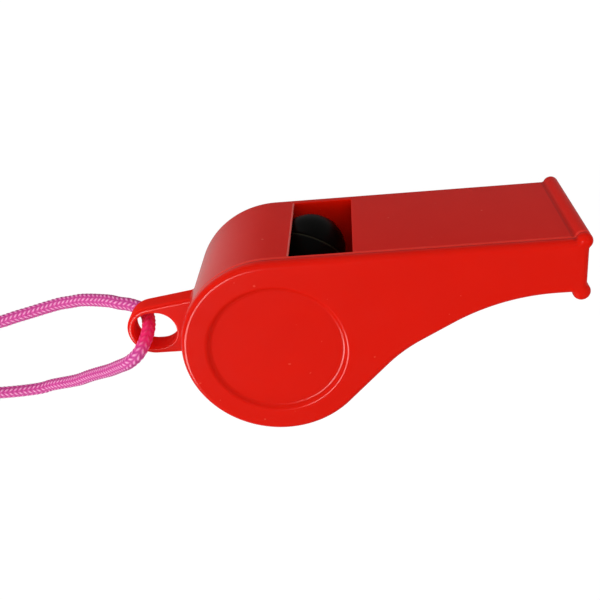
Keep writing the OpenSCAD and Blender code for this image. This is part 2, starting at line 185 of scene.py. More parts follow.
# From the coil over the eye, through its hole, away under it to the knot, and coil to knot
near_points = [
    [-57, -13.85, 1.1], [-53, -13.9, 0.9], [-49, -13.9, 0.8], [-45, -13.9, 0.8],
    [-41, -13.9, 0.8], [-37.4, -13.8, 0.8], [-34.5, -13.55, 0.8], [-32.9, -13.1, 0.9],
    [-31.3, -12.45, 1.6], [-29.5, -11.75, 2.4], [-27.7, -10.75, 3.6], [-25.7, -9.4, 5],
    [-23.7, -8.05, 6.6], [-21.8, -6.75, 8.2], [-20.1, -5.4, 9.7], [-18.2, -3.8, 11.5],
    [-16.8, -2.55, 11.9],
]
eye_points = [
    [-16.05, -1.6, 11.3], [-15.65, -0.8, 10.3], [-15.6, -0.3, 9.3], [-15.85, 0, 8], [-16.4, 0, 6.7],
]
far_points = [
    [-17.3, 0.2, 5.7], [-18.7, 0.4, 5], [-20, 0.4, 4.5], [-21.3, 0.4, 3.8], [-22.8, 0.2, 3],
    [-24.3, 0.05, 2.4], [-25.8, -0.2, 1.8], [-27.2, -0.55, 1.4], [-28.8, -0.9, 1],
    [-30.9, -1.45, 0.8], [-33.1, -2, 0.8], [-35.2, -2.5, 0.8], [-37.3, -3.05, 0.8],
    [-40.6, -3.5, 0.8], [-42.8, -2.9, 0.9], [-44.4, -1.3, 1.4], [-45, 0.4, 2.2],
]
link_points = [
    [-58, 11.85, 7.4], [-56, 11.85, 6.9], [-54, 11.85, 6], [-52, 11.85, 4.9], [-50, 11.8, 3.9],
    [-48.2, 11.3, 3.1], [-46.6, 10.4, 2.7], [-45.5, 9, 2.5],
]
print("points of the strands", len(near_points + eye_points + far_points))

# %% [markdown]
# ### The coil
#
# A lanyard is wound up when it is put away. Here the turns lie beside each other in flat
# spirals, and four such layers lie on each other. A spiral that runs in, then out again, and
# climbs one layer at each end does this with one unbroken line.


# %% Turns of the coil
def tip(w):
    """Eases the turn of direction where a layer ends: a parabola below a quarter turn."""
    return np.where(w < CLIMB_TURNS / 2, w * w / CLIMB_TURNS + CLIMB_TURNS / 4, w)


def turns_in(t):
    """How many turns in from the outermost one the coil is, after t turns."""
    u = t % (2 * LAYER_TURNS)
    from_out = np.minimum(u, 2 * LAYER_TURNS - u)
    to_in = LAYER_TURNS - from_out
    at_ends = (t < LAYER_TURNS / 2) | (t > COIL_TURNS - LAYER_TURNS / 2)
    inner = np.where(from_out < to_in, tip(from_out), LAYER_TURNS - tip(to_in))
    return np.where(at_ends, from_out, inner)


def ease(s):
    """A smooth step from 0 to 1: c squared times (3 - 2c)."""
    c = np.clip(s, 0, 1)
    return c * c * (3 - 2 * c)


def coil_line(t):
    """Spiral of radius COIL_R less the turns in, that climbs one layer at each of its ends."""
    r = COIL_R - COIL_PITCH * turns_in(t)
    a = np.radians(-90 - 360 * t)
    layers = sum(ease((t - k * LAYER_TURNS) / CLIMB_TURNS + 0.5) for k in range(1, COIL_LAYERS))
    x, y = COIL_MIDDLE[0] + r * np.cos(a), COIL_MIDDLE[1] + r * np.sin(a)
    return np.column_stack([x, y, COIL_LOW + LAYER_PITCH * layers])


coil_entry = [[COIL_MIDDLE[0] + CORD_D, COIL_MIDDLE[1] - COIL_R, COIL_LOW]]
coil_exit = [[COIL_MIDDLE[0] + CORD_D, COIL_MIDDLE[1] + COIL_R, COIL_LOW + COIL_RISE]]
coil_points = coil_line(np.arange(COIL_TURNS * TURN_STEPS + 1) / TURN_STEPS)
print("coil", COIL_TURNS, "turns in", COIL_LAYERS, "layers,", len(coil_points), "points")

# %% [markdown]
# ### One closed curve
#
# The runs are joined end to end into a loop that starts in the eye's hole. A Catmull-Rom curve
# is put through the points, because it passes through each of them, so that the cord goes
# exactly where the solids have it.

# %% The whole loop
HOLE_POINT = 3
knot_far = [KNOT_PLACE - [0, KNOT_L / 2, 0]]
knot_near = [KNOT_PLACE + [0, KNOT_L / 2, 0]]
route = np.vstack([
    eye_points[HOLE_POINT:], far_points, knot_far, [KNOT_PLACE], knot_near, link_points[::-1],
    coil_exit, coil_points[::-1], coil_entry, near_points, eye_points[:HOLE_POINT],
])


def smooth_loop(points, per_step=12):
    """Catmull-Rom curve through a closed run of points, per_step parts between two of them."""
    p0, p1, p2, p3 = (np.roll(points, n, axis=0)[:, None] for n in (1, 0, -1, -2))
    t = np.arange(per_step)[None, :, None] / per_step
    curve = 0.5 * (
        2 * p1 + (p2 - p0) * t + (2 * p0 - 5 * p1 + 4 * p2 - p3) * t**2
        + (3 * p1 - p0 - 3 * p2 + p3) * t**3
    )
    return curve.reshape(-1, 3)


def lengths_along(points):
    """Distance from the first point to each point, and on to the first again."""
    steps = np.linalg.norm(np.roll(points, -1, axis=0) - points, axis=1)
    return np.concatenate([[0], np.cumsum(steps)])


cord_curve = smooth_loop(route)
curve_lengths = lengths_along(cord_curve)
CORD_LENGTH = curve_lengths[-1]
print("cord length", round(CORD_LENGTH), "mm")

# %% [markdown]
# ### How the braid is drawn
#
# Eight columns of strokes run along the cord. In each the yarn slants, to the left in one
# column and to the right in the next. A stroke rises where the cosine wave along the column is
# high. Real relief in the mesh was chosen over colour alone, because the outline of the cord
# shows it too.

# %% Braided tube
BRAID_COLUMNS = 8
BRAID_PITCH = 0.65
BRAID_SLANT = 0.8
BRAID_RELIEF = 0.08
CORD_SIDES = 24
TABLE_GAP = 0.01


def braid_height(u, v):
    """Squared cosine along the slanted column, times an envelope that sinks between columns."""
    column = np.floor(u * BRAID_COLUMNS)
    x = u * BRAID_COLUMNS - column - 0.5
    slant = np.where(column % 2 == 0, 1, -1) * BRAID_SLANT
    stroke = np.cos(np.pi * (v / BRAID_PITCH + slant * x)) ** 2
    return stroke * np.cos(np.pi * x) ** 2


def frames_along(points, closed):
    """Tangent and two cross directions that don't twist: each is carried to the next point by the
    least turn, and on a loop the twist left at the end is shared out along it."""
    if closed:
        ahead, behind = np.roll(points, -1, axis=0), np.roll(points, 1, axis=0)
        t = ahead - behind
    else:
        t = np.gradient(points, axis=0)
    t /= np.linalg.norm(t, axis=1, keepdims=True)
    n = np.array([0, 0, 1.0]) - t * t[:, 2:]
    n /= np.linalg.norm(n, axis=1, keepdims=True)
    b = np.cross(t, n)
    t_next, n_next, b_next = (np.roll(x, -1, axis=0) for x in (t, n, b))
    both = t + t_next
    share = np.sum(n * t_next, axis=1) / (1 + np.sum(t * t_next, axis=1))
    carried = n - share[:, None] * both
    turns = np.arctan2(np.sum(carried * b_next, axis=1), np.sum(carried * n_next, axis=1))
    angle = np.concatenate([[0], np.cumsum(turns)[:-1]])
    if closed:
        left = (np.sum(turns) + np.pi) % (2 * np.pi) - np.pi
        angle -= left * np.arange(len(t)) / len(t)
    c, s = np.cos(angle)[:, None], np.sin(angle)[:, None]
    return t, c * n + s * b, c * b - s * n


def braided_tube(name, points, along, radius, closed, relief):
    """Rings of radius r + relief * (braid height - 0.5) round a line of points, kept just above
    the table. Along is each ring's distance. The UV map holds the turn round the cord and the
    distance in strokes."""
    t, n, b = frames_along(points, closed)
    u = np.arange(CORD_SIDES) / CORD_SIDES
    r = np.asarray(radius, float).reshape(-1, 1)
    r = r + np.asarray(relief, float).reshape(-1, 1) * (braid_height(u[None], along[:, None]) - 0.5)
    a = 2 * np.pi * u
    rings = (
        points[:, None] + r[..., None] * (
            np.cos(a)[None, :, None] * n[:, None] + np.sin(a)[None, :, None] * b[:, None]
        )
    )
    rings[..., 2] = np.maximum(rings[..., 2], TABLE_GAP)
    count = len(points)
    faces = ring_faces(count, CORD_SIDES, closed)
    ends = [] if closed else [
        list(range(CORD_SIDES))[::-1], list(range((count - 1) * CORD_SIDES, count * CORD_SIDES))
    ]
    piece = new_piece(name, rings.reshape(-1, 3), faces.tolist() + ends)
    mesh = piece.data
    k, i = np.divmod(np.arange(len(faces)), CORD_SIDES)
    along_and_on = np.append(along, along[-1] + along[1] - along[0])
    corner_u = (i[:, None] + [0, 1, 1, 0]) / CORD_SIDES
    corner_v = along_and_on[k[:, None] + [0, 0, 1, 1]] / BRAID_PITCH
    corner_uv = np.stack([corner_u, corner_v], axis=-1).reshape(-1, 2)
    uv = np.zeros((len(mesh.loops), 2))
    uv[:len(corner_uv)] = corner_uv
    layer = mesh.uv_layers.new(name="braid")
    layer.data.foreach_set("uv", uv.astype(np.float32).ravel())
    mesh.shade_smooth()
    return piece


# %% [markdown]
# ### The lanyard's mesh
#
# The rings lie a sixth of a stroke apart on the 38 mm of each strand that are nearest to the
# whistle, where the camera is close. In the coil two fifths of a stroke are enough, and that
# keeps a cord of nearly a metre under 200,000 triangles.

# %% Lanyard cord
FINE_RUN = 38.0
FINE_RINGS = 6
COARSE_RINGS = 2.5


def ring_places(length):
    """Distances of the rings, FINE_RINGS a stroke within FINE_RUN of the loop's start and end
    and COARSE_RINGS a stroke elsewhere, and the length of a stroke that fits a whole number."""
    strokes = round(length / BRAID_PITCH)
    stroke = length / strokes
    fine_low = round(FINE_RUN / stroke)
    fine_high = strokes - fine_low
    fine = np.arange(fine_low * FINE_RINGS) * stroke / FINE_RINGS
    coarse_count = round((fine_high - fine_low) * COARSE_RINGS)
    coarse = np.linspace(fine_low * stroke, fine_high * stroke, coarse_count, endpoint=False)
    return np.concatenate([fine, coarse, fine_high * stroke + fine]), stroke


ring_along, stroke_length = ring_places(CORD_LENGTH)
closed_curve = np.vstack([cord_curve, cord_curve[:1]])
ring_points = np.column_stack([
    np.interp(ring_along, curve_lengths, closed_curve[:, axis]) for axis in range(3)
])
cord = braided_tube(
    "lanyard_cord", ring_points, ring_along * BRAID_PITCH / stroke_length, CORD_R,
    True, BRAID_RELIEF
)
print("cord rings", len(ring_along), "triangles", 2 * len(cord.data.polygons))

# %% [markdown]
# ### The knot
#
# A barrel knot joins the two ends: one end winds three times round the other strand, and both
# cut ends stand out beside it, melted a little so that they don't fray. It is a helix with
# a straight tail at each end, round a short core where the strands pass through.

# %% Barrel knot
WRAP_R = 1.6
WRAP_STEP = 1.45
WRAPS = 3
WRAP_CORD_R = CORD_R - 0.03
WOUND_SHARE = 0.62
WOUND_END = WRAP_STEP * (WRAPS / 2 - 0.25)
TAIL_X = 1.75
TAIL_END = 5.0
SWING_RATE = 3
MELT_RUN = 0.5
MELT_SHARE = 0.25
KNOT_STEP = 0.125


def rounded_end(distance, radius):
    """Radius that falls along a quarter circle to MELT_SHARE of itself within MELT_RUN of an end,
    as a melted end does."""
    s = np.clip(distance / MELT_RUN, 0, 1)
    return radius * (MELT_SHARE + (1 - MELT_SHARE) * np.sqrt(1 - (1 - s) ** 2))


def knot_line(steps=420):
    """Helix round the Y axis for the middle WOUND_SHARE of the way, whose ends swing out by a
    quarter turn and then run straight along the axis."""
    s = np.linspace(-1, 1, steps)
    turn = np.clip(s / WOUND_SHARE, -1, 1)
    past = np.clip((np.abs(s) - WOUND_SHARE) / (1 - WOUND_SHARE), 0, 1) * np.sign(s)
    swing = ease(np.abs(past) * SWING_RATE)
    angle = np.pi * (WRAPS - 0.5) * turn + 0.5 * np.pi * np.sign(s) * swing
    radius = WRAP_R + (TAIL_X - WRAP_R) * swing
    y = WOUND_END * turn + past * (TAIL_END - WOUND_END)
    return np.column_stack([radius * np.cos(angle), y, radius * np.sin(angle)]) + KNOT_PLACE


def even_run(points, step):
    """The same line with its points an even step apart, and the distance of each."""
    d = np.concatenate([[0], np.cumsum(np.linalg.norm(np.diff(points, axis=0), axis=1))])
    places = np.linspace(0, d[-1], round(d[-1] / step) + 1)
    return np.column_stack([np.interp(places, d, points[:, axis]) for axis in range(3)]), places


knot_points, knot_along = even_run(knot_line(), KNOT_STEP)
knot_radius = rounded_end(np.minimum(knot_along, knot_along[-1] - knot_along), WRAP_CORD_R)
knot = braided_tube(
    "lanyard_knot_wraps", knot_points, knot_along, knot_radius, False,
    BRAID_RELIEF * knot_radius / CORD_R
)
print("knot cord", round(knot_along[-1], 1), "mm")

# %% [markdown]
# ### The band
#
# A flat elastic band holds the coil together. Its section is a thin rounded bar, carried round
# a rounded rectangle that hugs the four layers of turns on one side of the coil.

# %% Coil band
BAND_T = 0.4
BAND_W = 3.0
BAND_GAP = 0.1
BAND_EDGE_R = BAND_T / 2 - 0.02


def rounded_loop(width, height, radius, steps=10):
    """Rectangle with quarter circles at its corners, anticlockwise, and its outward directions."""
    a = np.radians(np.add.outer(np.arange(4) * 90, np.linspace(0, 90, steps + 1)))
    side = np.array([[1, 1], [-1, 1], [-1, -1], [1, -1]])
    centres = side * [width / 2 - radius, height / 2 - radius]
    out = np.stack([np.cos(a), np.sin(a)], axis=-1)
    return (centres[:, None] + radius * out).reshape(-1, 2), out.reshape(-1, 2)


coil_inner_r = COIL_R - LAYER_TURNS * COIL_PITCH
band_inside = COIL_R - coil_inner_r + CORD_D + 2 * BAND_GAP
band_tall = COIL_RISE + CORD_D + 2 * BAND_GAP
band_corner = CORD_R + BAND_GAP
band_line, band_out = rounded_loop(
    band_inside + BAND_T, band_tall + BAND_T, band_corner + BAND_T / 2
)
section, _ = rounded_loop(BAND_T, BAND_W, BAND_EDGE_R, 4)
band_centre = np.array([
    COIL_MIDDLE[0] - (COIL_R + coil_inner_r) / 2, COIL_MIDDLE[1], BAND_T + band_tall / 2
])
flat = band_line[:, None] + section[None, :, :1] * band_out[:, None]
band_rings = np.stack([
    flat[..., 0], np.broadcast_to(section[None, :, 1], flat.shape[:2]), flat[..., 1]
], axis=-1) + band_centre
band = new_piece(
    "coil_band", band_rings.reshape(-1, 3),
    ring_faces(len(band_line), len(section), True).tolist()
)
band.data.shade_smooth()
print("band round", round(band_inside, 2), "x", round(band_tall, 2), "mm of coil")

# %% [markdown]
# ## Whistle body
#
# The body is one moulding: a closed side, the walls that stand on it, and the eye at the back.
# Seen from the side its outline is a circle that runs into a wedge, with a round bead above
# and below the mouth. Rings of that outline, drawn in near the edge, give the rounded rims.

# %% Outline of the whistle
DRUM_R = 10.4
BORE_R = 9.3
WHISTLE_W = 17.3
SIDE_WALL = 1.3
EDGE_R = 0.7
COVER_T = 1.1
SEAM_R = 0.1
BODY_RIM_R = 0.4
SEAM_Z = WHISTLE_W - COVER_T
MOUTH_X = 32.46
MOUTH_LOW = 4.55
TOP_LIP_R = 0.84
LOW_LIP_R = 0.92
LIP_BACK = 0.48
TOP_LIP_IN = 0.22
LOW_LIP_OUT = 0.05
LIP_ROOT_R = 0.25
LIP_FACE_R = 0.4
NECK_ANGLE, NECK_RUN, NECK_R = 45.2, 8.7, 16.0
BELLY_ANGLE, BELLY_R = 28.8, 22.0


def arc(centre, radius, start, end, steps):
    """Points centre + radius (cos a, sin a), a going from start to end degrees in equal steps."""
    a = np.radians(np.linspace(start, end, steps + 1))
    return np.asarray(centre) + radius * np.column_stack([np.cos(a), np.sin(a)])


def direction(a):
    """Unit vector at a degrees."""
    return np.array([np.cos(np.radians(a)), np.sin(np.radians(a))])


def blend_centre(corner, a, b, radius):
    """Centre of the arc that blends a line of slope a into one of slope b at their corner."""
    away = np.array([direction(a)[1] + direction(b)[1], -direction(a)[0] - direction(b)[0]])
    return corner + radius * away / (1 + np.cos(np.radians(a - b)))


def lip_hollows(bead, radius, sunk, side):
    """Angles and centres of the two hollows beside a bead, behind it and on the mouth's face. Each
    centre is a hollow's radius and the bead's away; side is 1 for the lower bead, -1 above."""
    root_reach, face_reach = radius + LIP_ROOT_R, radius + LIP_FACE_R
    root_a = np.degrees(np.arcsin((LIP_ROOT_R + sunk) / root_reach))
    face_a = np.degrees(np.arccos((LIP_BACK + LIP_FACE_R) / face_reach))
    root = bead - root_reach * direction(side * root_a)
    return root_a, face_a, root, bead + face_reach * direction(side * face_a)


neck_start = DRUM_R * np.array([direction(NECK_ANGLE)[1], -direction(NECK_ANGLE)[0]])
neck_corner = neck_start + NECK_RUN * direction(NECK_ANGLE)
belly_corner = np.array([
    neck_corner[0] + (MOUTH_LOW - neck_corner[1]) / np.tan(np.radians(BELLY_ANGLE)), MOUTH_LOW
])
neck_centre = blend_centre(neck_corner, NECK_ANGLE, BELLY_ANGLE, NECK_R)
belly_centre = blend_centre(belly_corner, BELLY_ANGLE, 0, BELLY_R)
low_lip = np.array([MOUTH_X - LIP_BACK, MOUTH_LOW - LOW_LIP_OUT])
top_lip = np.array([MOUTH_X - LIP_BACK, DRUM_R - TOP_LIP_IN])
low_root_a, low_face_a, low_root, low_face = lip_hollows(low_lip, LOW_LIP_R, -LOW_LIP_OUT, 1)
top_root_a, top_face_a, top_root, top_face = lip_hollows(top_lip, TOP_LIP_R, TOP_LIP_IN, -1)


def drum_to_belly(d, steps=180):
    """Three arcs that run into each other, drawn in by d: drum, neck and belly."""
    return np.vstack([
        arc([0, 0], DRUM_R - d, 90, 270 + NECK_ANGLE, steps),
        arc(neck_centre, NECK_R + d, 90 + NECK_ANGLE, 90 + BELLY_ANGLE, 14),
        arc(belly_centre, BELLY_R + d, 90 + BELLY_ANGLE, 90, 18),
    ])


def side_outline(d):
    """The whistle's side outline drawn in by d: drum, neck, belly, lower bead, upper bead."""
    return np.vstack([
        drum_to_belly(d),
        arc(low_root, LIP_ROOT_R + d, 90, low_root_a, 8),
        arc(low_lip, LOW_LIP_R - d, 180 + low_root_a, 360 + low_face_a, 32)[1:-1],
        arc(low_face, LIP_FACE_R + d, 180 + low_face_a, 180, 6),
        arc(top_face, LIP_FACE_R + d, 180, 180 - top_face_a, 6),
        arc(top_lip, TOP_LIP_R - d, -top_face_a, 180 - top_root_a, 32)[1:-1],
        arc(top_root, LIP_ROOT_R + d, -top_root_a, -90, 8),
    ])


print("outline points", len(side_outline(0)))

# %% [markdown]
# ### Rounded edges and cuts
#
# An edge is a short list of pairs, how far the outline is drawn in and at what height, and a
# slab takes one ring of the outline for each. Holes are cut with closed shapes by an exact
# Boolean, because the chamber, the windway and the window meet in ways that no single grid of
# rings can follow.


# %% Slabs and cuts
def low_edge(z, radius, steps=8):
    """Rounded lower edge from z up: drawn in by radius (1 - sin a) at z + radius (1 - cos a)."""
    a = np.linspace(0, np.pi / 2, steps + 1)
    return np.column_stack([radius * (1 - np.sin(a)), z + radius * (1 - np.cos(a))])


def high_edge(z, radius, steps=8):
    """The same for a rounded upper edge that ends at height z."""
    return low_edge(0, radius, steps)[::-1] * [1, -1] + [0, z]


def slab(name, outline, edges):
    """The outline drawn in and lifted as the edge profile says, ring after ring."""
    return solid_of_rings(name, [at_height(outline(d), z) for d, z in edges])


def carve(piece, tools, operation="DIFFERENCE"):
    """Cuts each tool from the piece, or joins it, and deletes the tool."""
    for tool in tools:
        step = piece.modifiers.new("carve", "BOOLEAN")
        step.operation = operation
        step.solver = "EXACT"
        step.object = tool
    depsgraph = bpy.context.evaluated_depsgraph_get()
    carved = bpy.data.meshes.new_from_object(piece.evaluated_get(depsgraph))
    piece.modifiers.clear()
    piece.data = carved
    for tool in tools:
        bpy.data.objects.remove(tool)
    return piece


# %% [markdown]
# ### What is cut out of the body
#
# The round chamber, the windway from the mouth, the window on top with its sharp edge, a hollow
# under the windway, and a shallow round recess in the flat side. Cutters with flared ends
# leave the small rounded rims that catch the light.

# %% Cutters of the body
RECESS_R = 7.65
RECESS_DEPTH = 0.4
RECESS_RIM_R = 0.5
RECESS_FLOOR_R = 0.6
WINDOW_X = 2.22
WINDOW_L = 6.65
WINDOW_END = WINDOW_X + WINDOW_L
WINDOW_RIM = 0.45
WINDOW_EDGE_R = 0.12
SLOT_ROOF = 0.9
SLOT_H = 1.5
SLOT_TOP = DRUM_R - SLOT_ROOF
SLOT_LOW = SLOT_TOP - SLOT_H
MOUTH_WALL = 1.3
MOUTH_H = 3.3
MOUTH_RIM_R = 0.3
MOUTH_RUN = 2.0
MOUTH_TOP = DRUM_R - MOUTH_WALL
MOUTH_FLOOR = MOUTH_TOP - MOUTH_H
OVER = 0.8


def recess_profile(out):
    """Flat floor, small fillet, 45 degree slope and rounded rim; out is +1 upwards, -1 down."""
    lean = np.tan(np.radians(22.5))
    floor_r = RECESS_R - RECESS_DEPTH - RECESS_FLOOR_R * lean
    rim_r = RECESS_R + RECESS_RIM_R * lean
    floor = arc([floor_r, RECESS_FLOOR_R - RECESS_DEPTH], RECESS_FLOOR_R, -90, -45, 4)
    rim = arc([rim_r, -RECESS_RIM_R], RECESS_RIM_R, 135, 90, 6)
    run = np.vstack([[0, -RECESS_DEPTH], floor, rim, [rim_r, OVER], [0, OVER]])
    return run if out > 0 else (run * [1, -1])[::-1]


def flare(low, high, radius, steps=5):
    """Widening and position of the rings of a cutter that rounds the rim at high: straight up
    from low, then a quarter circle outwards, and on past the rim."""
    a = np.linspace(0, np.pi / 2, steps + 1)
    return np.vstack([
        [0, low],
        np.column_stack([radius * (1 - np.cos(a)), high - radius + radius * np.sin(a)]),
        [radius, high + OVER],
    ])


def window_cutter():
    """Rectangles in X and Z stacked along Y, widening to the top so that the rim is rounded."""
    top = SEAM_Z - WINDOW_RIM
    rings = [
        [[WINDOW_X - w, y, top + w], [WINDOW_END + w, y, top + w],
         [WINDOW_END + w, y, SIDE_WALL - w], [WINDOW_X - w, y, SIDE_WALL - w]]
        for w, y in flare(0, DRUM_R, WINDOW_EDGE_R)
    ]
    return solid_of_rings("window", rings)


def mouth_cutter():
    """Rectangles in Y and Z stacked along X, widening to the end face."""
    rings = [
        [[x, MOUTH_FLOOR - w, SIDE_WALL - w], [x, MOUTH_TOP + w, SIDE_WALL - w],
         [x, MOUTH_TOP + w, WHISTLE_W + w], [x, MOUTH_FLOOR - w, WHISTLE_W + w]]
        for w, x in flare(MOUTH_X - MOUTH_RUN, MOUTH_X, MOUTH_RIM_R)
    ]
    return solid_of_rings("mouth", rings)


print("window", WINDOW_L, "mm, windway", MOUTH_H, "to", SLOT_H, "mm")

# %% [markdown]
# ### Windway, sharp edge and hollow
#
# The breath runs along a windway that narrows to a slot, crosses the window and meets the sharp
# edge. The hollow under the windway keeps the walls equally thick, as a moulder needs. Its
# cutter is the side outline drawn in by one wall, without the space that belongs to the drum.

# %% Air and hollow
EDGE_LAND = 0.25
EDGE_RUN = 2.6
EDGE_ANGLE = 35
EDGE_SLOPE = np.tan(np.radians(EDGE_ANGLE))
POCKET_WALL = 1.1
POCKET_X = 21.5
slot_rise = (MOUTH_FLOOR - SLOT_LOW) / (MOUTH_X - WINDOW_END)
roof_rise = (MOUTH_TOP - SLOT_TOP) / (MOUTH_X - WINDOW_END)
outer_x = MOUTH_X + OVER
air_outline = [
    [WINDOW_X, 0], [WINDOW_END, 0], [WINDOW_END, SLOT_LOW],
    [outer_x, MOUTH_FLOOR + slot_rise * OVER], [outer_x, MOUTH_TOP + roof_rise * OVER],
    [WINDOW_END, SLOT_TOP], [WINDOW_X, SLOT_TOP],
]
edge_y = DRUM_R - EDGE_LAND
edge_outline = [
    [WINDOW_X + OVER, edge_y], [WINDOW_X, edge_y],
    [WINDOW_X - EDGE_RUN, edge_y - EDGE_RUN * EDGE_SLOPE], [WINDOW_X - EDGE_RUN, 0],
    [WINDOW_X + OVER, 0],
]
pocket_left = WINDOW_END + POCKET_WALL
pocket_outline = [
    [pocket_left, -DRUM_R], [POCKET_X, -DRUM_R],
    [POCKET_X, MOUTH_FLOOR - slot_rise * (MOUTH_X - POCKET_X) - POCKET_WALL],
    [pocket_left, SLOT_LOW + slot_rise * POCKET_WALL - POCKET_WALL],
]
above = SEAM_Z + OVER
higher = above + 1


def hollow_outline(d):
    """The side outline drawn in by d, without the beads at the mouth."""
    end_x = MOUTH_X - MOUTH_RUN
    return np.vstack([drum_to_belly(d, 90), [[end_x, MOUTH_LOW + d], [end_x, DRUM_R - d]]])


pocket = prism("pocket", hollow_outline(POCKET_WALL), SIDE_WALL, above)
carve(pocket, [prism("pocket_sides", pocket_outline, 0, higher)], "INTERSECT")
carve(pocket, [cylinder("pocket_drum", BORE_R + POCKET_WALL, 0, higher)])
print("hollow faces", len(pocket.data.polygons))

# %% [markdown]
# ### The eye
#
# The loop for the lanyard is a flat tab with a round end and a rounded hole. Its sides widen
# into the drum in small fillets, as a moulder makes them so that the tab doesn't snap off.

# %% Lanyard eye
EYE_CENTRE = np.array([-14.95, -0.6])
EYE_R = 3.1
EYE_HOLE_R = 2.3
EYE_HOLE_X = (-15.0, -14.5)
EYE_Z = 7.4
EYE_T = 2.8
EYE_EDGE_R = 0.45
EYE_RIM_R = 0.2
EYE_FLARE = 8.5
EYE_FILLET = 0.7
EYE_ROOT_R = BORE_R + 0.35


def fillet_centre(start, slope, away):
    """Point at EYE_FILLET from a line through start and at EYE_FILLET from the drum's wall."""
    along = direction(slope)
    base = start + EYE_FILLET * np.array(away)
    half = base @ along
    reach = DRUM_R + EYE_FILLET
    return base + along * (-half - np.sqrt(half * half - base @ base + reach * reach))


low_side = EYE_CENTRE + EYE_R * direction(270)
high_side = EYE_CENTRE + EYE_R * direction(90 + EYE_FLARE)
low_fillet = fillet_centre(low_side, 0, direction(270))
high_fillet = fillet_centre(high_side, EYE_FLARE, direction(90 + EYE_FLARE))
low_in = np.degrees(np.arctan2(-low_fillet[1], -low_fillet[0]))
high_in = np.degrees(np.arctan2(-high_fillet[1], -high_fillet[0]))


def eye_outline(d):
    """Round end, lower side, fillet into the drum's wall, and the same back on the upper side."""
    low_root_point = EYE_ROOT_R * low_fillet / np.linalg.norm(low_fillet)
    high_root_point = EYE_ROOT_R * high_fillet / np.linalg.norm(high_fillet)
    return np.vstack([
        arc(EYE_CENTRE, EYE_R - d, 90 + EYE_FLARE, 270, 48),
        arc(low_fillet, EYE_FILLET + d, 90, low_in, 8),
        [low_root_point, high_root_point],
        arc(high_fillet, EYE_FILLET + d, high_in, EYE_FLARE - 90, 8),
    ])


def eye_hole_outline(grow):
    """Two half circles a short run apart."""
    return np.vstack([
        arc([EYE_HOLE_X[1], EYE_CENTRE[1]], EYE_HOLE_R + grow, -90, 90, 32),
        arc([EYE_HOLE_X[0], EYE_CENTRE[1]], EYE_HOLE_R + grow, 90, 270, 32),
    ])


eye_edges = np.vstack([low_edge(EYE_Z, EYE_EDGE_R, 6), high_edge(EYE_Z + EYE_T, EYE_EDGE_R, 6)])
eye = slab("eye", eye_outline, eye_edges)
hole_half = flare(0, EYE_T / 2, EYE_RIM_R, 4)[1:]
hole_edges = np.vstack([hole_half[::-1] * [1, -1], hole_half]) + [0, EYE_Z + EYE_T / 2]
carve(eye, [slab("eye_hole", eye_hole_outline, hole_edges)])
print("eye faces", len(eye.data.polygons))

# %% [markdown]
# ### The shell
#
# The outline is stacked into a solid with a rounded edge on the closed side and a finer one at
# the seam. All cutters are then taken out of it and the eye is joined on, so that the moulding
# is one closed skin with real walls.

# %% Body shell
body_edges = np.vstack([low_edge(0, EDGE_R, 10), high_edge(SEAM_Z, BODY_RIM_R, 8)])
body = slab("whistle_shell", side_outline, body_edges)
carve(body, [
    lathe("recess_low", recess_profile(-1)),
    cylinder("chamber", BORE_R, SIDE_WALL, above),
    prism("windway", air_outline, SIDE_WALL, above),
    pocket,
    prism("sharp_edge", edge_outline, SIDE_WALL, SEAM_Z - WINDOW_RIM),
    window_cutter(),
    mouth_cutter(),
])
carve(body, [eye], "UNION")
print("body faces", len(body.data.polygons))

# %% [markdown]
# ### The cover
#
# The second side is a separate plate, glued into the drum with a locating ring. It has the
# same outline and recess as the closed side, and its seam shows as a fine dark line, a small
# groove with painted shade laid in it.

# %% Side cover
RING_GAP = 0.1
RING_WALL = 1.0
RING_H = 1.0
RING_SINK = 0.2
RING_OUT = BORE_R - RING_GAP
RING_IN = RING_OUT - RING_WALL
RING_LOW = SEAM_Z - RING_H
cover_edges = np.vstack([low_edge(SEAM_Z, SEAM_R, 5), high_edge(WHISTLE_W, EDGE_R, 10)])
cover = slab("cover_plate", side_outline, cover_edges)
carve(cover, [cylinder("ring", RING_OUT, RING_LOW, SEAM_Z + RING_SINK)], "UNION")
carve(cover, [
    cylinder("ring_bore", RING_IN, RING_LOW - 1, SEAM_Z),
    lathe("recess_high", recess_profile(1) + [0, WHISTLE_W]),
])
print("cover faces", len(cover.data.polygons))

# %% [markdown]
# ### Crisp edges on smooth faces
#
# A Boolean leaves long thin faces, and plain smooth shading would smear the light over them.
# Edges sharper than 34 degrees are kept crisp, and normals weighted by face area keep the flat
# sides flat.

# %% Shading of the mouldings
SHARP_ANGLE = 34
WELD_GAP = 2e-6
FACE_WEIGHT = 90


def finish_edges(piece):
    """Merges doubled points, keeps edges over SHARP_ANGLE crisp, and lets large faces rule."""
    mesh = piece.data
    weld = piece.modifiers.new("weld", "WELD")
    weld.merge_threshold = WELD_GAP
    mesh.shade_smooth()
    mesh.set_sharp_from_angle(angle=np.radians(SHARP_ANGLE))
    normals = piece.modifiers.new("normals", "WEIGHTED_NORMAL")
    normals.keep_sharp = True
    normals.weight = FACE_WEIGHT


for moulding in (body, cover):
    finish_edges(moulding)
    print(moulding.name, "edges", len(moulding.data.edges))

# %% [markdown]
# ## The ball
#
# The pea is a black plastic ball, and the two halves of its mould leave a fine groove round it.
# It rests on the closed side at the top of the chamber, where the window shows it. A profile
# turned round an axis makes the ball and its groove in one piece, and the ball is then tilted
# until the groove lies as on the real one.

# %% Pea
PEA_R = 4.0
PEA_GROOVE_R = 0.12
GROOVE_LIP = 1.6
PEA_TURN = (40, -29)
PEA_CENTRE = np.array([3.921, 6.276, 5.4])


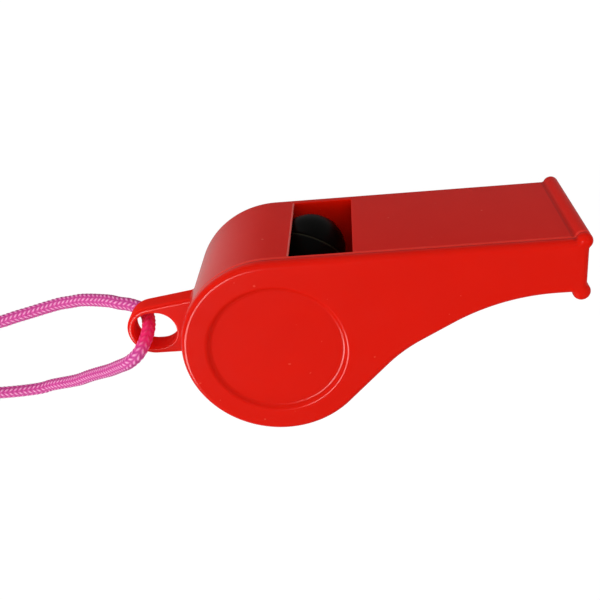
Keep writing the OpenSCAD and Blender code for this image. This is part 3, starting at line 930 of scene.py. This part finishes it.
def turn_matrix(x, y):
    """Turn by x degrees about X, then y degrees about Y."""
    cx, sx, cy, sy = *direction(x), *direction(y)
    about_x = np.array([[1, 0, 0], [0, cx, -sx], [0, sx, cx]])
    about_y = np.array([[cy, 0, sy], [0, 1, 0], [-sy, 0, cy]])
    return about_y @ about_x


def ball_profile():
    """Radius and height of a circle from pole to pole, dented by a round groove at its middle."""
    open_a = np.degrees(PEA_GROOVE_R / PEA_R)
    low = arc([0, 0], PEA_R, -90, -open_a * GROOVE_LIP, 40)
    groove = arc([PEA_R, 0], PEA_GROOVE_R, 255, 105, 8)
    return np.vstack([low, groove, low[::-1] * [1, -1]])


pea = lathe("pea_ball", ball_profile(), 96)
ball_points = np.empty(3 * len(pea.data.vertices))
pea.data.vertices.foreach_get("co", ball_points)
ball_points = ball_points.reshape(-1, 3) / MM + MIDDLE
ball_points = ball_points @ turn_matrix(*PEA_TURN).T + PEA_CENTRE
pea.data.vertices.foreach_set("co", in_frame(ball_points).ravel())
pea.data.shade_smooth()
print("ball", 2 * PEA_R, "mm across at", PEA_CENTRE)

# %% [markdown]
# ## Materials
#
# Glossy moulded plastic, satin black plastic, a braided cord and a woven elastic. Colours are
# varied a little and the gloss a little more, because a real moulding is never quite even.
# Short helpers add the nodes, so that each finish below reads as a list of what it shows.


# %% Shader helpers
def material(name):
    """A new node material, with its node tree and its shader."""
    made = bpy.data.materials.new(name)
    made.use_nodes = True
    return made, made.node_tree, made.node_tree.nodes["Principled BSDF"]


def feed(tree, socket, value):
    """Links an output to the socket, or sets a constant on the socket itself."""
    if isinstance(value, bpy.types.NodeSocket):
        tree.links.new(value, socket)
    else:
        socket.default_value = value


def set_inputs(tree, node, **values):
    """Feeds the node's sockets by name, with _ for each space."""
    for key, value in values.items():
        feed(tree, node.inputs[key.replace("_", " ")], value)


def add(tree, kind, **settings):
    """A node of that kind with its properties set and its sockets fed."""
    node = tree.nodes.new("ShaderNode" + kind)
    for key, value in settings.items():
        if hasattr(node, key):
            setattr(node, key, value)
        else:
            set_inputs(tree, node, **{key: value})
    return node


def object_place(tree):
    """The place on the piece, in metres."""
    return add(tree, "TexCoord").outputs["Object"]


def parts(tree, vector):
    """The X, Y and Z of a vector."""
    return add(tree, "SeparateXYZ", Vector=vector).outputs


def metres(values):
    """Millimetres turned into metres."""
    return [value * MM for value in values]


def noise(tree, vector, scale, detail=2.0, rough=0.5):
    """Noise over the object's own coordinates, scale in features a metre."""
    node = add(tree, "TexNoise", Vector=vector, Scale=scale, Detail=detail, Roughness=rough)
    return node.outputs["Fac"]


def sums(tree, operation, first, second=None, kind="Math", output="Value"):
    """One arithmetic step on outputs or numbers, or on vectors with VectorMath as its kind."""
    node = add(tree, kind, operation=operation)
    feed(tree, node.inputs[0], first)
    if second is not None:
        feed(tree, node.inputs[1], second)
    return node.outputs[output]


def times(tree, first, *factors):
    """The product of outputs and numbers."""
    for factor in factors:
        first = sums(tree, "MULTIPLY", first, factor)
    return first


def spread(tree, value, low, high):
    """Maps 0..1 to low..high."""
    return add(tree, "MapRange", Value=value, To_Min=low, To_Max=high).outputs["Result"]


def between(tree, value, low, high):
    """0 where the value is low and 1 where it is high, eased between."""
    node = add(tree, "MapRange", interpolation_type="SMOOTHSTEP", Value=value)
    set_inputs(tree, node, From_Min=low, From_Max=high)
    return node.outputs["Result"]


def distance_from(tree, value, middle):
    """How far the value is from the middle, to either side."""
    return sums(tree, "ABSOLUTE", sums(tree, "SUBTRACT", value, middle))


def line_at(tree, value, middle, half):
    """1 within 0.4 of half a width from the middle and 0 from half a width on, eased between."""
    return between(tree, distance_from(tree, value, middle), half, half * 0.4)


def over(tree, value, below, colour):
    """Below, a colour or an output, where the value is 0, and the colour where it is 1."""
    node = add(tree, "Mix", data_type="RGBA", Factor=value)
    for socket, shade in zip(node.inputs[6:8], (below, colour)):
        feed(tree, socket, (*shade, 1) if isinstance(shade, tuple) else shade)
    return node.outputs[2]


def bump(tree, heights):
    """The normal after a chain of bumps; each is a height and its depth in metres."""
    normal = None
    for height, depth in heights:
        node = add(tree, "Bump", Height=height, Strength=1.0, Distance=depth)
        if normal:
            feed(tree, node.inputs["Normal"], normal)
        normal = node.outputs["Normal"]
    return normal


# %% [markdown]
# ### Red plastic
#
# The real plastic is a glossy red that lets in a little light, and the shader's subsurface gives
# that.
# On the thin tab of the eye, and most on its walls, a brighter red is painted in as well, a painted
# glow for the light that shines through it, and the rest is deep. A fine dark line of painted shade
# lies in the seam groove and in the crease at the root of the upper bead, and a paler painted
# highlight on the rounded rim beside the seam and along the window's sharp edge. A few light specks
# lie on the faces.
# Each is a mask of the place on the piece and of its facing, laid over the colour in turn, because
# the lines follow the mould and not the grid of the mesh.

# %% Red plastic
TAB_MIDDLE_Z = EYE_Z + EYE_T / 2
TAB_FADE_Z = (1.55, 1.4)
TAB_FADE_X = (-17.3, -17.7)
WALL_FADE = (0.75, 0.45)
LEVEL_FADE = (0.5, 0.3)
SPECK_FADE = (0.775, 0.81)
RIM_LINE = (SEAM_Z - 0.25, 0.22)
SEAM_LINE = (SEAM_Z + 0.05, 0.14)
ROOT_LINE = (top_root[0] + 0.05 - MIDDLE[0], 0.3)
EDGE_LINE = (WINDOW_X - 0.05 - MIDDLE[0], 0.16)
EDGE_FADE_Y = (DRUM_R - 0.35 - MIDDLE[1], DRUM_R - 0.25 - MIDDLE[1])
EDGE_MIDDLE_Z = 8.5
EDGE_FADE_Z = (7.3, 7.1)

red, tree, shader = material("red_plastic")
spot = object_place(tree)
x, y, z = parts(tree, spot)
upward = parts(tree, add(tree, "NewGeometry").outputs["Normal"])["Z"]

off_middle = distance_from(tree, z, TAB_MIDDLE_Z * MM)
tab = times(
    tree, between(tree, off_middle, *metres(TAB_FADE_Z)), between(tree, x, *metres(TAB_FADE_X))
)
wall = times(tree, tab, between(tree, upward, *WALL_FADE))
# Painted glow: a brighter red on the eye's tab, most on its walls, for light shining through it
painted_tab_glow = sums(tree, "ADD", times(tree, tab, 0.3), times(tree, wall, 0.7))
speck = between(tree, noise(tree, spot, 1500, 1.0, 0.4), *SPECK_FADE)
# Painted highlight: a paler line on the body's rounded rim just under the seam
rim = line_at(tree, z, *metres(RIM_LINE))
# Painted shade: a dark line in the seam groove between body and cover
seam = line_at(tree, z, *metres(SEAM_LINE))
# Painted shade: a dark line in the crease at the root of the upper bead, on its walls
level = between(tree, sums(tree, "ABSOLUTE", upward), *LEVEL_FADE)
root = times(tree, line_at(tree, x, *metres(ROOT_LINE)), level)
# Painted highlight: a pale line along the window's sharp edge, for the floor reflected there
high = between(tree, y, *metres(EDGE_FADE_Y))
inside = between(tree, distance_from(tree, z, EDGE_MIDDLE_Z * MM), *metres(EDGE_FADE_Z))
sharp_edge = times(tree, line_at(tree, x, *metres(EDGE_LINE)), high, inside)

cloud = noise(tree, spot, 160, 3.0)
main_colour = over(tree, cloud, (0.685, 0.0064, 0.0006), (0.735, 0.0082, 0.0014))
for mask, strength, colour in (
    (painted_tab_glow, 1.0, (0.90, 0.010, 0.002)),
    (speck, 0.3, (0.95, 0.16, 0.11)),
    (rim, 0.5, (0.95, 0.07, 0.05)),
    (seam, 0.8, (0.25, 0.002, 0.001)),
    (root, 0.5, (0.42, 0.004, 0.001)),
    (sharp_edge, 0.4, (0.95, 0.32, 0.28)),
):
    main_colour = over(tree, times(tree, mask, strength), main_colour, colour)
gloss = spread(tree, noise(tree, spot, 420, 4.0), 0.17, 0.24)
waves = bump(tree, [(noise(tree, spot, 320, 1.0), 6e-6), (noise(tree, spot, 5200, 2.0), 1.2e-6)])
set_inputs(
    tree, shader, Base_Color=main_colour, Normal=waves,
    Roughness=sums(tree, "ADD", gloss, times(tree, wall, 0.6)), Specular_IOR_Level=0.15,
    Subsurface_Weight=0.4, Subsurface_Radius=(1.0, 0.12, 0.06), Subsurface_Scale=0.0010
)
print("red plastic", len(tree.nodes), "nodes")

# %% [markdown]
# ### Black plastic
#
# The ball is satin black, and only the line of its mould breaks the surface. The height over
# the plane of the groove is the dot product of the place on the ball with the ball's tilted
# axis, and where that is near zero the plastic is a little paler.

# %% Black plastic
PARTING_HALF = 0.11
black, tree, shader = material("black_plastic")
spot = object_place(tree)
cloud = noise(tree, spot, 300, 2.0)
main_colour = over(tree, cloud, (0.0020, 0.0018, 0.0014), (0.0036, 0.0032, 0.0026))
from_centre = sums(tree, "SUBTRACT", spot, in_frame(PEA_CENTRE), "VectorMath", "Vector")
tilted_axis = turn_matrix(*PEA_TURN)[:, 2]
over_groove = sums(tree, "DOT_PRODUCT", from_centre, tilted_axis, "VectorMath")
parting = line_at(tree, over_groove, 0.0, PARTING_HALF * MM)
set_inputs(
    tree, shader, Base_Color=over(tree, parting, main_colour, (0.027, 0.025, 0.015)),
    Roughness=spread(tree, noise(tree, spot, 900, 3.0), 0.34, 0.46),
    Normal=bump(tree, [(noise(tree, spot, 3000, 2.0), 2e-6)]), Specular_IOR_Level=0.12
)
print("black plastic", len(tree.nodes), "nodes")

# %% [markdown]
# ### Cord yarn
#
# The strokes that the mesh raises are worked out again from the UV map, and light and shade are
# painted on them over the yarn's own pink: the raised yarn is painted lighter and the gaps between
# strokes a darker, shaded pink. The UV map turns with the cord, and so does the pattern. In the
# eye's hole a painted crimson cast stands in for the light that the red plastic throws on the cord,
# laid on by its distance from the middle of the hole.

# %% Braid in nodes
HOLE_PLACE = (-15.4, -0.4, 9.2)
HOLE_REACH = (4.2, 2.0)
RED_BOUNCE_SHARE = 0.9


def braid_nodes(tree):
    """The braid height of the mesh, from the UV map: columns, slant and stroke, with a plain
    cosine across the column for a fuller yarn."""
    uv = parts(tree, add(tree, "UVMap", uv_map="braid").outputs["UV"])
    scaled = times(tree, uv["X"], float(BRAID_COLUMNS))
    x = sums(tree, "SUBTRACT", sums(tree, "FRACT", scaled), 0.5)
    odd = sums(tree, "MODULO", sums(tree, "FLOOR", scaled), 2.0)
    side = sums(tree, "SUBTRACT", times(tree, odd, -2.0), -1.0)
    phase = sums(tree, "ADD", uv["Y"], times(tree, side, x, BRAID_SLANT))
    wave = sums(tree, "COSINE", times(tree, phase, 2 * np.pi))
    stroke = times(tree, sums(tree, "ADD", wave, 1.0), 0.5)
    across = sums(tree, "COSINE", times(tree, x, np.pi))
    return times(tree, stroke, across)


def near_hole(tree, spot):
    """1 within 2 mm of the middle of the eye's hole and 0 from 4.2 mm on, eased between."""
    away = sums(tree, "DISTANCE", spot, in_frame(HOLE_PLACE), "VectorMath")
    return between(tree, away, *metres(HOLE_REACH))


# %% Braided cord
pink, tree, shader = material("pink_cord")
height = braid_nodes(tree)
spot = object_place(tree)
# Painted light and shade: raised yarn lighter, gaps between strokes darker, over the yarn's pink
painted_braid_shading = add(tree, "ValToRGB", Fac=height)
painted_braid_shading.color_ramp.elements.new(0.45)
for index, colour in enumerate([(0.56, 0.046, 0.27), (0.82, 0.125, 0.43), (0.96, 0.45, 0.70)]):
    painted_braid_shading.color_ramp.elements[index].color = (*colour, 1)
# Painted reflection: a crimson cast in the hole for the red light thrown on the cord by the plastic
painted_red_bounce = times(tree, near_hole(tree, spot), RED_BOUNCE_SHARE)
set_inputs(
    tree, shader, Base_Color=over(tree, painted_red_bounce, painted_braid_shading.outputs["Color"], (0.95, 0.010, 0.13)),
    Roughness=spread(tree, noise(tree, spot, 2500, 3.0), 0.6, 0.85),
    Normal=bump(tree, [(height, 6e-5), (noise(tree, spot, 14000, 2.0), 8e-6)]),
    Specular_IOR_Level=0.2, Sheen_Weight=0.1, Sheen_Roughness=0.4
)
print("pink cord", len(tree.nodes), "nodes")

# %% [markdown]
# ### Elastic band
#
# A woven elastic shows fine ribs along its length, where its rubber threads run. One wave over
# the band's width gives both the shade and the relief of the ribs.

# %% Elastic band
elastic, tree, shader = material("tie_band")
spot = object_place(tree)
ribs = add(
    tree, "TexWave", wave_type="BANDS", bands_direction="Y", Vector=spot, Scale=600.0,
    Distortion=0.6
).outputs["Fac"]
set_inputs(
    tree, shader, Base_Color=over(tree, ribs, (0.30, 0.025, 0.16), (0.50, 0.05, 0.28)),
    Roughness=spread(tree, noise(tree, spot, 1500, 2.0), 0.65, 0.85),
    Normal=bump(tree, [(ribs, 4e-5)])
)
print("tie band", len(tree.nodes), "nodes")

# %% [markdown]
# ## Pieces and bodies
#
# Each piece rides on the body that carries it, so the ball can move while all else stays. It
# stands for its solids, which stay in the motion model but are hidden, and takes the material
# named as their slot.

# %% Pieces, their bodies and finishes
for piece, body_name, nodes, finish, slot_name in (
    (body, "whistle", ("whistle_body",), red, "red_plastic"),
    (cover, "whistle", ("side_cover",), red, "red_plastic"),
    (pea, "ball", ("pea",), black, "black_plastic"),
    (cord, "whistle", ("lanyard_strands", "lanyard_coil", "lanyard_link"), pink, "pink_cord"),
    (knot, "whistle", ("lanyard_knot",), pink, "pink_cord"),
    (band, "whistle", ("coil_tie",), elastic, "tie_band"),
):
    piece.data.materials.clear()
    piece.data.materials.append(finish)
    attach(piece, body_name)
    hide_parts(*nodes)
    print(piece.name, "rides on", body_name)

# %% [markdown]
# ## Floor
#
# The whistle lies on plain pale paper. The camera sees it as white, with a tenth of its true
# shade left in, so that a faint shadow stays under the whistle. In the gloss of the plastic it
# is darker, and least dark towards the eye, so that the reds keep their depth there.

# %% Floor
FLOOR_HALF = 0.9
FLOOR_GREY = 0.37
FLOOR_SEEN = 1.09
FLOOR_IN_GLOSS = (0.22, 0.54)
GLOSS_FADE_X = (-8.0, -22.0)
SEEN_SHARE = 0.90
corners = FLOOR_HALF * np.array([[-1, -1, 0], [1, -1, 0], [1, 1, 0], [-1, 1, 0]])
floor = new_piece("floor", corners / MM + MIDDLE, [[0, 1, 2, 3]])
paper, tree, shader = material("white_paper")
set_inputs(tree, shader, Base_Color=(FLOOR_GREY, FLOOR_GREY, FLOOR_GREY, 1), Roughness=0.9)
rays = add(tree, "LightPath").outputs
towards_eye = between(tree, parts(tree, object_place(tree))["X"], *metres(GLOSS_FADE_X))
darker = sums(tree, "SUBTRACT", FLOOR_SEEN, spread(tree, towards_eye, *FLOOR_IN_GLOSS))
strength = sums(tree, "SUBTRACT", FLOOR_SEEN, times(tree, rays["Is Glossy Ray"], darker))
glow = add(tree, "Emission", Strength=strength)
seen = sums(tree, "ADD", rays["Is Camera Ray"], rays["Is Transmission Ray"])
share = sums(tree, "ADD", times(tree, seen, SEEN_SHARE), rays["Is Glossy Ray"])
mix = add(tree, "MixShader", Fac=share)
feed(tree, mix.inputs[1], shader.outputs[0])
feed(tree, mix.inputs[2], glow.outputs[0])
set_inputs(tree, tree.nodes["Material Output"], Surface=mix.outputs[0])
floor.data.materials.append(paper)

# %% [markdown]
# ## Lamps and sky
#
# A white sky lights the whistle evenly. One soft lamp on the left shades the round drum, and it
# is kept out of the gloss. A long narrow strip shows in the gloss alone, where it draws the fine
# bright lines along the rounded rims.

# %% Lamps and sky
SKY_LIGHT = 0.85
SKY_SEEN = 1.0
SKY_GLOSS_DROP = 0.74
world = bpy.data.worlds.new("studio")
world.use_nodes = True
tree = world.node_tree
rays = add(tree, "LightPath").outputs
seen = spread(tree, rays["Is Camera Ray"], SKY_LIGHT, SKY_SEEN)
strength = sums(tree, "SUBTRACT", seen, times(tree, rays["Is Glossy Ray"], SKY_GLOSS_DROP))
set_inputs(tree, tree.nodes["Background"], Color=(1, 1, 1, 1), Strength=strength)
scene.world = world


def soft_lamp(name, place, along, size, watts):
    """A rectangular area lamp at place, in metres, that faces the origin, its long side along."""
    data = bpy.data.lights.new(name, "AREA")
    data.shape = "RECTANGLE"
    data.size, data.size_y = size
    data.energy = watts
    lamp = bpy.data.objects.new(name, data)
    place = Vector(place)
    back = place.normalized()
    side = back.cross(Vector(along).cross(back)).normalized()
    turn = Matrix((side, back.cross(side), back)).transposed().to_4x4()
    lamp.matrix_world = Matrix.Translation(place) @ turn
    scene.collection.objects.link(lamp)
    return lamp


left_lamp = soft_lamp("left_lamp", (-0.442, 0.042, 0.270), (0, 1, 0), (0.14, 0.14), 0.95)
left_lamp.visible_glossy = False
strip_lamp = soft_lamp(
    "strip_lamp", (-0.288, -0.199, 0.424), (0.368, 0.528, 0.496), (0.50, 0.12), 4.5
)
strip_lamp.visible_diffuse = False
